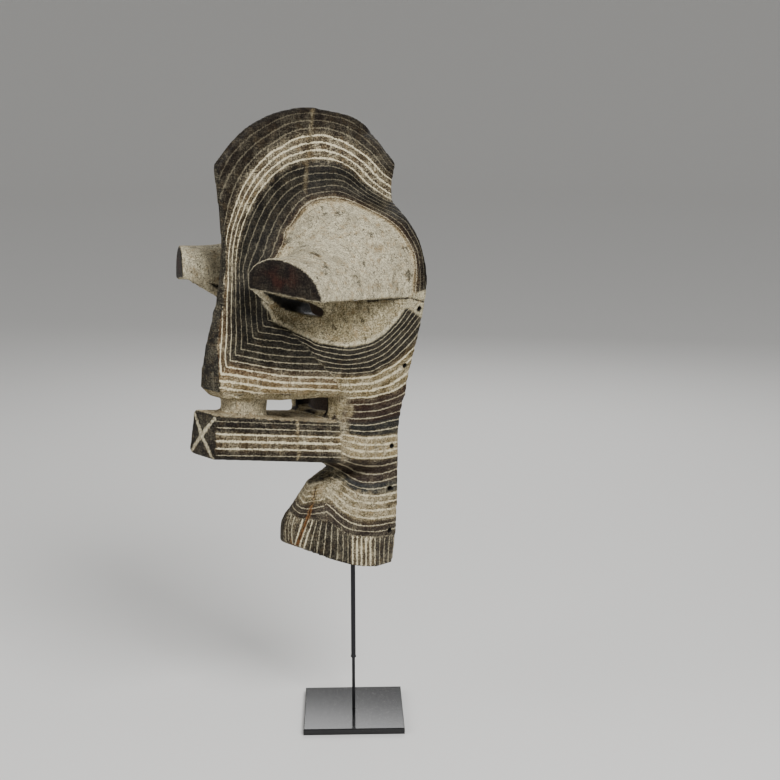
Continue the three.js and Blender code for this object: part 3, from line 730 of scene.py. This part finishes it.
class Mixing(Enum):
    """A step of a material: its node, settings, the inputs that it takes in order, and its output."""

    RANGE = (
        "ShaderNodeMapRange",
        {"interpolation_type": "SMOOTHSTEP"},
        ("Value", "From Min", "From Max", "To Min", "To Max"),
        0,
    )
    BLEND = ("ShaderNodeMix", {"data_type": "RGBA"}, (0, 6, 7), 2)
    SCALE = ("ShaderNodeVectorMath", {"operation": "SCALE"}, (0, "Scale"), 0)
    TIMES = ("ShaderNodeMath", {"operation": "MULTIPLY"}, (0, 1), 0)
    TIMES_PLUS = ("ShaderNodeMath", {"operation": "MULTIPLY_ADD"}, (0, 1, 2), 0)
    PLUS = ("ShaderNodeMath", {"operation": "ADD"}, (0, 1), 0)
    LESS = ("ShaderNodeMath", {"operation": "SUBTRACT"}, (0, 1), 0)
    MOST = ("ShaderNodeMath", {"operation": "MAXIMUM"}, (0, 1), 0)
    LEAST = ("ShaderNodeMath", {"operation": "MINIMUM"}, (0, 1), 0)
    SIZE = ("ShaderNodeMath", {"operation": "ABSOLUTE"}, (0,), 0)
    FOLD = ("ShaderNodeMath", {"operation": "PINGPONG"}, (0, 1), 0)


def add_node(
    tree: bpy.types.NodeTree,
    kind: str,
    settings: dict[str, object] | None = None,
    values: dict[str | int, object] | None = None,
    links: dict[str | int, bpy.types.NodeSocket] | None = None,
) -> bpy.types.Node:
    """Adds one node.

    Args:
        tree: the node tree.
        kind: the node's type name.
        settings: the node's own properties.
        values: constants on its inputs.
        links: sockets that feed its inputs.

    Returns:
        The node.
    """
    node = tree.nodes.new(kind)
    for name, value in (settings or {}).items():
        setattr(node, name, value)
    for name, value in (values or {}).items():
        node.inputs[name].default_value = value
    for name, socket in (links or {}).items():
        tree.links.new(socket, node.inputs[name])
    return node


def new_material(finish: Finish) -> tuple[bpy.types.Material, bpy.types.NodeTree, bpy.types.Node]:
    """Makes a material with only its shader and output.

    Args:
        finish: the finish that it is named for.

    Returns:
        The material, its node tree and its shader.
    """
    material = bpy.data.materials.new(finish.value)
    material.use_nodes = True
    tree = material.node_tree
    return material, tree, tree.nodes["Principled BSDF"]


@dataclass(frozen=True)
class PigmentedWood:
    """Old carved wood, blackened, with chalk rubbed into the cut lines; dry and powdery where chalked.

    Attributes:
        chalk: colour of thick chalk.
        soot: colour of the dirt in the chalk's cracks.
        stain: colour of the tan stains on thick chalk.
        thin: colour of thick chalk where it has worn thin and grey.
        speck_mm: size of the specks where chalk has flaked or dusted.
        scratch_mm: width of the fine scratches.
    """

    chalk: str = "d9ceae"
    soot: str = "1c150d"
    stain: str = "8a7450"
    thin: str = "7c735e"
    speck_mm: float = 1.8
    scratch_mm: float = 0.8

    def noises(self) -> list[tuple[str, float, float, float, tuple[float, float, float]]]:
        """Lists the uneven fields that the steps take.

        Returns:
            The name of each field, its size in mm, its detail and roughness, and how each axis is drawn out.
        """
        even, drawn_up, drawn_level = (1, 1, 1), (1, 1, 0.07), (0.12, 0.12, 1)
        return [
            ("fine", self.speck_mm, 6, 0.8, even),
            ("patch", 16, 3, 0.6, even),
            ("upright", self.scratch_mm, 3, 0.7, drawn_up),
            ("level", self.scratch_mm, 3, 0.7, drawn_level),
            ("ticks", 1.5, 2, 0.6, (1, 1, 0.12)),
            ("broad", 26, 4, 0.65, even),
            ("blots", 9, 5, 0.7, even),
            ("shards", 11, 5, 0.62, even),
            ("shake", 4, 4, 0.7, even),
        ]

    def steps(self) -> list[tuple]:
        """Lists the steps from the mesh's layout and the noises to the shader, in order.

        Returns:
            The name of each step, what it does, and its inputs, where a word names an earlier step.
        """
        chalk, soot, stain, thin = (rgba(colour) for colour in (self.chalk, self.soot, self.stain, self.thin))
        return [
            ("mottle", Mixing.TIMES_PLUS, "patch", 0.5, "fine"),
            # The ground is uneven, and scratched along the grain
            ("grime", Mixing.RANGE, "fine", 0.3, 0.7, 0.3, 1.25),
            ("scratch", Mixing.RANGE, "upright", 0.3, 0.7, 0.6, 1.3),
            ("tone", Mixing.TIMES, "grime", "scratch"),
            ("wood", Mixing.SCALE, "ground", "tone"),
            # Chalk lies on it as dust and smears, thin and grey or stained in places
            ("streaks", Mixing.TIMES_PLUS, "level", 0.6, "mottle"),
            ("smudge", Mixing.RANGE, "streaks", 0.98, 1.28, 0.0, 1.0),
            ("most_dust", Mixing.TIMES, "dust", 0.8),
            ("smear", Mixing.TIMES, "smudge", "most_dust"),
            ("dusted", Mixing.BLEND, "smear", "wood", chalk),
            ("rubbed_off", Mixing.RANGE, "broad", 0.47, 0.66, 0.0, 0.55),
            ("thick", Mixing.RANGE, "dust", 0.9, 1.0, 0.0, 1.0),
            ("thinning", Mixing.TIMES, "rubbed_off", "thick"),
            ("uneven", Mixing.BLEND, "thinning", "dusted", thin),
            ("spill", Mixing.RANGE, "blots", 0.5, 0.68, 0.0, 0.6),
            ("stain_share", Mixing.TIMES, "spill", "dust"),
            ("stained", Mixing.BLEND, "stain_share", "uneven", stain),
            # Soot sits in the cracks and pits of thick chalk
            ("shard", Mixing.LESS, "shards", 0.5),
            ("shard_edge", Mixing.SIZE, "shard"),
            ("craze_line", Mixing.RANGE, "shard_edge", 0.016, 0.004, 0.0, 1.0),
            ("craze_place", Mixing.RANGE, "patch", 0.4, 0.55, 0.0, 1.0),
            ("craze", Mixing.TIMES, "craze_line", "craze_place"),
            ("less_fine", Mixing.TIMES, "fine", 0.8),
            ("blotch", Mixing.TIMES_PLUS, "patch", 1.5, "less_fine"),
            ("pits", Mixing.RANGE, "blotch", 1.02, 0.84, 0.0, 0.9),
            ("pitted", Mixing.MOST, "craze", "pits"),
            ("crack_share", Mixing.TIMES, "dust", 0.85),
            ("crack", Mixing.TIMES, "pitted", "crack_share"),
            # Short upright nicks show soot, and flecks show chalk
            ("nick_field", Mixing.TIMES_PLUS, "patch", 0.25, "ticks"),
            ("nick", Mixing.RANGE, "nick_field", 0.74, 0.8, 0.0, 1.0),
            ("fleck_field", Mixing.TIMES_PLUS, "patch", -0.3, "ticks"),
            ("fleck_place", Mixing.RANGE, "fleck_field", 0.19, 0.14, 0.0, 1.0),
            ("fleck", Mixing.TIMES, "fleck_place", "dust"),
            ("fleck_share", Mixing.LEAST, "fleck", 0.6),
            ("flecked", Mixing.BLEND, "fleck_share", "stained", chalk),
            ("nick_share", Mixing.TIMES, "nick", 0.6),
            ("soot_share", Mixing.MOST, "crack", "nick_share"),
            ("aged", Mixing.BLEND, "soot_share", "flecked", soot),
            # The lines have a broken edge, and are thinner where they are worn
            ("waver", Mixing.RANGE, "shake", 0.25, 0.75, -0.07, 0.07),
            ("bent", Mixing.PLUS, "line_number", "waver"),
            ("off", Mixing.FOLD, "bent", 0.5),
            ("wear", Mixing.RANGE, "mottle", 0.55, 0.95, 0.35, 1.15),
            ("width", Mixing.TIMES, "line_width", "wear"),
            ("within", Mixing.LESS, "width", "off"),
            ("edge", Mixing.RANGE, "within", -0.03, 0.03, 0.0, 1.0),
            ("flaking", Mixing.RANGE, "fine", 0.36, 0.52, 0.25, 1.0),
            ("nicked", Mixing.RANGE, "nick", 0.0, 1.0, 1.0, 0.3),
            ("worn", Mixing.TIMES, "flaking", "nicked"),
            ("filled", Mixing.TIMES, "line_strength", "worn"),
            ("line", Mixing.TIMES, "edge", "filled"),
            ("colour", Mixing.BLEND, "line", "aged", chalk),
            # Chalk is drier than wood, and the surface is scratched
            ("powder", Mixing.MOST, "dust", "line"),
            ("roughness", Mixing.RANGE, "powder", 0.0, 0.8, 0.5, 0.9),
            ("pores", Mixing.PLUS, "fine", "level"),
            ("relief", Mixing.TIMES_PLUS, "upright", 0.5, "pores"),
        ]

    def make(self) -> bpy.types.Material:
        """Builds the material.

        Returns:
            The material.
        """
        material, tree, shader = new_material(Finish.PIGMENTED_WOOD)
        place = add_node(tree, "ShaderNodeTexCoord").outputs["Object"]
        made: dict[str, bpy.types.NodeSocket] = {}
        for name in ("ground", "line_number", "line_strength", "line_width", "dust"):
            held = add_node(tree, "ShaderNodeAttribute", {"attribute_name": name})
            made[name] = held.outputs["Color" if name == "ground" else "Fac"]
        for name, size_mm, detail, rough, drawn in self.noises():
            mapped = add_node(tree, "ShaderNodeMapping", values={"Scale": drawn}, links={"Vector": place})
            values = {"Scale": 1 / (size_mm * MM), "Detail": detail, "Roughness": rough}
            noise = add_node(tree, "ShaderNodeTexNoise", values=values, links={"Vector": mapped.outputs[0]})
            made[name] = noise.outputs["Fac"]
        for name, mixing, *inputs in self.steps():
            kind, settings, slots, result = mixing.value
            given = list(zip(slots, inputs))
            values = {slot: value for slot, value in given if not isinstance(value, str)}
            links = {slot: made[source] for slot, source in given if isinstance(source, str)}
            made[name] = add_node(tree, kind, settings, values, links).outputs[result]
        tree.links.new(made["colour"], shader.inputs["Base Color"])
        tree.links.new(made["roughness"], shader.inputs["Roughness"])
        shader.inputs["Specular IOR Level"].default_value = 0.12
        depth = {"Strength": 0.6, "Distance": 0.6 * MM}
        bump = add_node(tree, "ShaderNodeBump", values=depth, links={"Height": made["relief"]})
        tree.links.new(bump.outputs[0], shader.inputs["Normal"])
        return material


@dataclass(frozen=True)
class PolishedBlack:
    """Black lacquered steel plate, glossy, with fine dust lying on it.

    Attributes:
        lacquer: colour of the lacquer.
        dust: colour of the dust.
        speck_mm: size of the dust's specks.
    """

    lacquer: str = "0b0b0d"
    dust: str = "77756f"
    speck_mm: float = 1.2

    def make(self) -> bpy.types.Material:
        """Builds the material.

        Returns:
            The material.
        """
        material, tree, shader = new_material(Finish.POLISHED_BLACK)
        place = add_node(tree, "ShaderNodeTexCoord").outputs["Object"]
        grain = {"Scale": 1 / (self.speck_mm * MM), "Detail": 2.0}
        fine = add_node(tree, "ShaderNodeTexNoise", values=grain, links={"Vector": place})
        sparse = {"From Min": 0.66, "From Max": 0.74, "To Min": 0.0, "To Max": 0.55}
        specks = add_node(tree, "ShaderNodeMapRange", values=sparse, links={"Value": fine.outputs["Fac"]})
        colour = add_node(
            tree, "ShaderNodeMix", {"data_type": "RGBA"}, {6: rgba(self.lacquer), 7: rgba(self.dust)},
            {0: specks.outputs[0]},
        )
        tree.links.new(colour.outputs[2], shader.inputs["Base Color"])
        duller = {"From Min": 0.0, "From Max": 0.5, "To Min": 0.12, "To Max": 0.6}
        rough = add_node(tree, "ShaderNodeMapRange", values=duller, links={"Value": specks.outputs[0]})
        tree.links.new(rough.outputs[0], shader.inputs["Roughness"])
        shader.inputs["IOR"].default_value = 1.5
        return material


@dataclass(frozen=True)
class DarkSteel:
    """Blackened steel rod and tube, satin from handling.

    Attributes:
        colour: colour of the blackened skin.
    """

    colour: str = "2b2b2e"

    def make(self) -> bpy.types.Material:
        """Builds the material.

        Returns:
            The material.
        """
        material, _, shader = new_material(Finish.DARK_STEEL)
        shader.inputs["Base Color"].default_value = rgba(self.colour)
        shader.inputs["Metallic"].default_value = 0.8
        shader.inputs["Roughness"].default_value = 0.38
        return material


@dataclass(frozen=True)
class StudioFloor:
    """Plain pale paper under the object.

    Attributes:
        colour: colour of the paper.
    """

    colour: str = "e3e2df"

    def make(self) -> bpy.types.Material:
        """Builds the material.

        Returns:
            The material.
        """
        material, _, shader = new_material(Finish.STUDIO_FLOOR)
        shader.inputs["Base Color"].default_value = rgba(self.colour)
        shader.inputs["Roughness"].default_value = 0.8
        return material


def baked(source: bpy.types.Object, name: str) -> bpy.types.Object:
    """Makes an object from another with its modifiers applied, and removes the other.

    Args:
        source: the object with modifiers.
        name: the name of the new object.

    Returns:
        The new object.
    """
    graph = bpy.context.evaluated_depsgraph_get()
    mesh = bpy.data.meshes.new_from_object(source.evaluated_get(graph))
    mesh.name = name
    bpy.data.objects.remove(source)
    result = bpy.data.objects.new(name, mesh)
    bpy.context.scene.collection.objects.link(result)
    return result


@dataclass
class Mask:
    """The carved mask, remade finely from its plain solid.

    Attributes:
        voxel: edge of the first fine grid, in mm.
        rounding: passes of smoothing away from sharp edges.
        sharp_angle: angle between faces, in degrees, that counts as a carved edge.
        edge_spacing: distance between the points that mark a carved edge, in mm.
        soft_from: distance from a carved edge, in mm, at which smoothing starts to grow.
        soft_over: distance, in mm, over which it grows to its full share.
        triangles: number of triangles kept after carving.
        cord_hole_radius: radius of the cord holes, in mm.
        work: the carving and painting.
    """

    voxel: float = 2.6
    rounding: int = 16
    sharp_angle: float = 38.0
    edge_spacing: float = 2.0
    soft_from: float = 1.5
    soft_over: float = 6.0
    triangles: int = 190000
    cord_hole_radius: float = 2.75
    work: MaskWork = field(default_factory=MaskWork)

    def hole_cutter(self) -> bpy.types.Object:
        """Makes the rods that cut the cord holes through both sides of the rim.

        Returns:
            The rods as one object.
        """
        bm = bmesh.new()
        for back, height in CORD_HOLES:
            place = Matrix.Translation((0, back * MM, height * MM)) @ Matrix.Rotation(math.pi / 2, 4, "Y")
            radius = self.cord_hole_radius * MM
            bmesh.ops.create_cone(
                bm, cap_ends=True, segments=16, radius1=radius, radius2=radius, depth=280 * MM, matrix=place
            )
        mesh = bpy.data.meshes.new("hole_cutter")
        bm.to_mesh(mesh)
        bm.free()
        cutter = bpy.data.objects.new("hole_cutter", mesh)
        bpy.context.scene.collection.objects.link(cutter)
        return cutter

    def edge_tree(self, bm: bmesh.types.BMesh) -> KDTree:
        """Collects points along the solid's carved edges.

        Args:
            bm: the plain solid.

        Returns:
            The points, in metres, for finding the nearest one.
        """
        spots = []
        for edge in bm.edges:
            if len(edge.link_faces) != 2 or edge.calc_face_angle(0.0) < math.radians(self.sharp_angle):
                continue
            a, b = edge.verts[0].co, edge.verts[1].co
            # Seams between the crest's smooth faces aren't carved edges
            middle = (a + b) / 2 / MM
            on_vault = middle.z > 610 and abs(middle.x) > 6.5 and -80 < middle.y < 27
            if on_vault:
                continue
            pieces = max(1, int((b - a).length / (self.edge_spacing * MM)))
            spots += [a.lerp(b, k / pieces) for k in range(pieces + 1)]
        tree = KDTree(len(spots))
        for index, spot in enumerate(spots):
            tree.insert(spot, index)
        tree.balance()
        return tree

    def rough_out(self) -> bpy.types.Object:
        """Remakes the solid as an even grid, smoothed between its edges.

        Returns:
            The fine mask, not yet carved.
        """
        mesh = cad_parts["mask"].data.copy()
        bm = bmesh.new()
        bm.from_mesh(mesh)
        bmesh.ops.remove_doubles(bm, verts=bm.verts, dist=2e-5)
        tree = self.edge_tree(bm)
        bm.to_mesh(mesh)
        bm.free()
        block = bpy.data.objects.new("mask_block", mesh)
        bpy.context.scene.collection.objects.link(block)
        remesh = block.modifiers.new("grid", "REMESH")
        remesh.mode = "VOXEL"
        remesh.voxel_size = self.voxel * MM
        grid = baked(block, "mask_grid")
        group = grid.vertex_groups.new(name="open")
        for vertex in grid.data.vertices:
            distance = tree.find(vertex.co)[2] / MM
            weight = min(1.0, max(0.12, (distance - self.soft_from) / self.soft_over))
            group.add([vertex.index], weight, "REPLACE")
        smooth = grid.modifiers.new("smooth", "SMOOTH")
        smooth.factor = 0.5
        smooth.iterations = self.rounding
        smooth.vertex_group = "open"
        finer = grid.modifiers.new("finer", "SUBSURF")
        finer.levels = finer.render_levels = 1
        cutter = self.hole_cutter()
        drilled = grid.modifiers.new("holes", "BOOLEAN")
        drilled.object = cutter
        drilled.solver = "MANIFOLD"
        result = baked(grid, "mask_fine")
        bpy.data.objects.remove(cutter)
        return result

    @staticmethod
    def arrays(mesh: bpy.types.Mesh) -> tuple[Array, Array]:
        """Gives a mesh's positions and normals.

        Args:
            mesh: the mesh.

        Returns:
            Positions in mm and normals, one row for each vertex.
        """
        count = len(mesh.vertices)
        points, normals = np.empty(count * 3), np.empty(count * 3)
        mesh.vertices.foreach_get("co", points)
        mesh.vertex_normals.foreach_get("vector", normals)
        return points.reshape(-1, 3) / MM, normals.reshape(-1, 3)

    def carve(self, fine: bpy.types.Object) -> bpy.types.Object:
        """Cuts the lines in and thins the mesh where it is plain.

        Args:
            fine: the fine mask.

        Returns:
            The carved mask.
        """
        mesh = fine.data
        points, normals = self.arrays(mesh)
        carving = self.work.work(points, normals)
        LOG.info("mask: %d faces before thinning", len(mesh.polygons))
        cut = (points - normals * carving.depth[:, None]) * MM
        mesh.vertices.foreach_set("co", cut.ravel())
        mesh.update()
        group = fine.vertex_groups.new(name="bare")
        group.add(np.flatnonzero(carving.bare).tolist(), 1.0, "REPLACE")
        group.add(np.flatnonzero(~carving.bare).tolist(), 0.6, "REPLACE")
        thin = fine.modifiers.new("thin", "DECIMATE")
        thin.ratio = self.triangles / (2 * len(mesh.polygons))
        thin.vertex_group = "bare"
        thin.vertex_group_factor = 0.002
        return baked(fine, "mask_carved")

    def paint(self, piece: bpy.types.Object) -> None:
        """Writes the paint's layout on the mesh.

        Args:
            piece: the carved mask.
        """
        mesh = piece.data
        points, normals = self.arrays(mesh)
        carving = self.work.work(points, normals)
        columns = {"line_number": carving.number, "line_strength": carving.paint[:, 3]}
        columns |= {"line_width": carving.paint[:, 4], "dust": carving.paint[:, 5]}
        for name, values in columns.items():
            layer = mesh.attributes.new(name, "FLOAT", "POINT")
            layer.data.foreach_set("value", values.astype(np.float32))
        ground = mesh.attributes.new("ground", "FLOAT_COLOR", "POINT")
        colours = np.hstack([carving.paint[:, :3], np.ones((len(points), 1))])
        ground.data.foreach_set("color", colours.astype(np.float32).ravel())
        mesh.polygons.foreach_set("use_smooth", np.ones(len(mesh.polygons), bool))
        mesh.update()

    def build(self) -> bpy.types.Object:
        """Makes the finished piece.

        Returns:
            The piece.
        """
        piece = self.carve(self.rough_out())
        self.paint(piece)
        piece.data.materials.clear()
        piece.data.materials.append(PigmentedWood().make())
        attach(piece, "root")
        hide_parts("mask")
        return piece


@dataclass
class Stand:
    """The square plate, the rod and tube on it, and the two holders inside the mask.

    Attributes:
        dark_nodes: the solids of blackened steel.
    """

    dark_nodes: tuple[str, ...] = ("lower_rod", "upper_tube", "top_holder", "chin_arm")

    def build(self) -> None:
        """Dresses the stand's own solids."""
        lacquer, steel = PolishedBlack().make(), DarkSteel().make()
        for node in ("base_plate", *self.dark_nodes):
            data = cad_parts[node].data
            data.materials.clear()
            data.materials.append(lacquer if node == "base_plate" else steel)


@dataclass
class Studio:
    """Floor, soft lights and the camera.

    Attributes:
        lens: focal length in mm on a 36 mm sensor.
        floor: radius of the floor's flat part in metres.
        sweep: radius of its upturned rim in metres.
    """

    lens: float = 1400 / 780 * 36
    floor: float = 9.0
    sweep: float = 5.0

    def lamp(self, name: str, place: tuple[float, float, float], size: float, power: float) -> None:
        """Sets up one soft light aimed at the mask.

        Args:
            name: the light's name.
            place: its place in metres.
            size: its side in metres.
            power: its power in watts.
        """
        data = bpy.data.lights.new(name, "AREA")
        data.size = size
        data.energy = power
        lamp = bpy.data.objects.new(name, data)
        lamp.location = place
        aim = Vector((0, -0.05, 0.45)) - Vector(place)
        lamp.rotation_euler = aim.to_track_quat("-Z", "Y").to_euler()
        bpy.context.scene.collection.objects.link(lamp)

    def build(self) -> None:
        """Builds the studio."""
        bm = bmesh.new()
        profile = [bm.verts.new((0, 0, 0))]
        for angle in np.linspace(0, math.pi / 2, 25):
            out, rise = math.sin(angle) * self.sweep, (1 - math.cos(angle)) * self.sweep
            profile.append(bm.verts.new((self.floor + out, 0, rise)))
        edges = [bm.edges.new(pair) for pair in zip(profile, profile[1:])]
        turn = {"angle": 2 * math.pi, "steps": 96, "axis": (0, 0, 1), "cent": (0, 0, 0)}
        bmesh.ops.spin(bm, geom=[*profile, *edges], use_merge=True, **turn)
        bmesh.ops.remove_doubles(bm, verts=bm.verts, dist=1e-5)
        bmesh.ops.recalc_face_normals(bm, faces=bm.faces)
        mesh = bpy.data.meshes.new("floor")
        bm.to_mesh(mesh)
        bm.free()
        floor = bpy.data.objects.new("floor", mesh)
        bpy.context.scene.collection.objects.link(floor)
        mesh.polygons.foreach_set("use_smooth", np.ones(len(mesh.polygons), bool))
        mesh.materials.append(StudioFloor().make())
        self.lamp("key", (1.7, -0.5, 1.9), 0.9, 60)
        self.lamp("fill", (-0.5, -1.9, 1.3), 1.2, 16)
        self.lamp("back", (-1.2, 1.5, 1.6), 1.2, 18)
        world = bpy.data.worlds.new("studio")
        world.use_nodes = True
        backdrop = world.node_tree.nodes["Background"]
        backdrop.inputs["Color"].default_value = rgba("e4e4e4")
        backdrop.inputs["Strength"].default_value = 0.5
        bpy.context.scene.world = world
        data = bpy.data.cameras.new("camera")
        data.lens = self.lens
        data.sensor_width = 36
        camera = bpy.data.objects.new("camera", data)
        camera.location = [c * MM for c in Chart.EYE]
        camera.rotation_euler = Vector(Chart.AHEAD).to_track_quat("-Z", "Y").to_euler()
        bpy.context.scene.collection.objects.link(camera)
        bpy.context.scene.camera = camera


def main() -> None:
    """Builds the pieces in order and notes the sizes."""
    logging.basicConfig(level=logging.INFO, format="%(name)s: %(message)s")
    piece = Mask().build()
    LOG.info("mask: %d triangles", sum(len(p.vertices) - 2 for p in piece.data.polygons))
    Stand().build()
    LOG.info("stand: plate, rod, tube and two holders")
    Studio().build()
    LOG.info("studio: floor, three lights and camera")


if __name__ == "__main__":
    main()
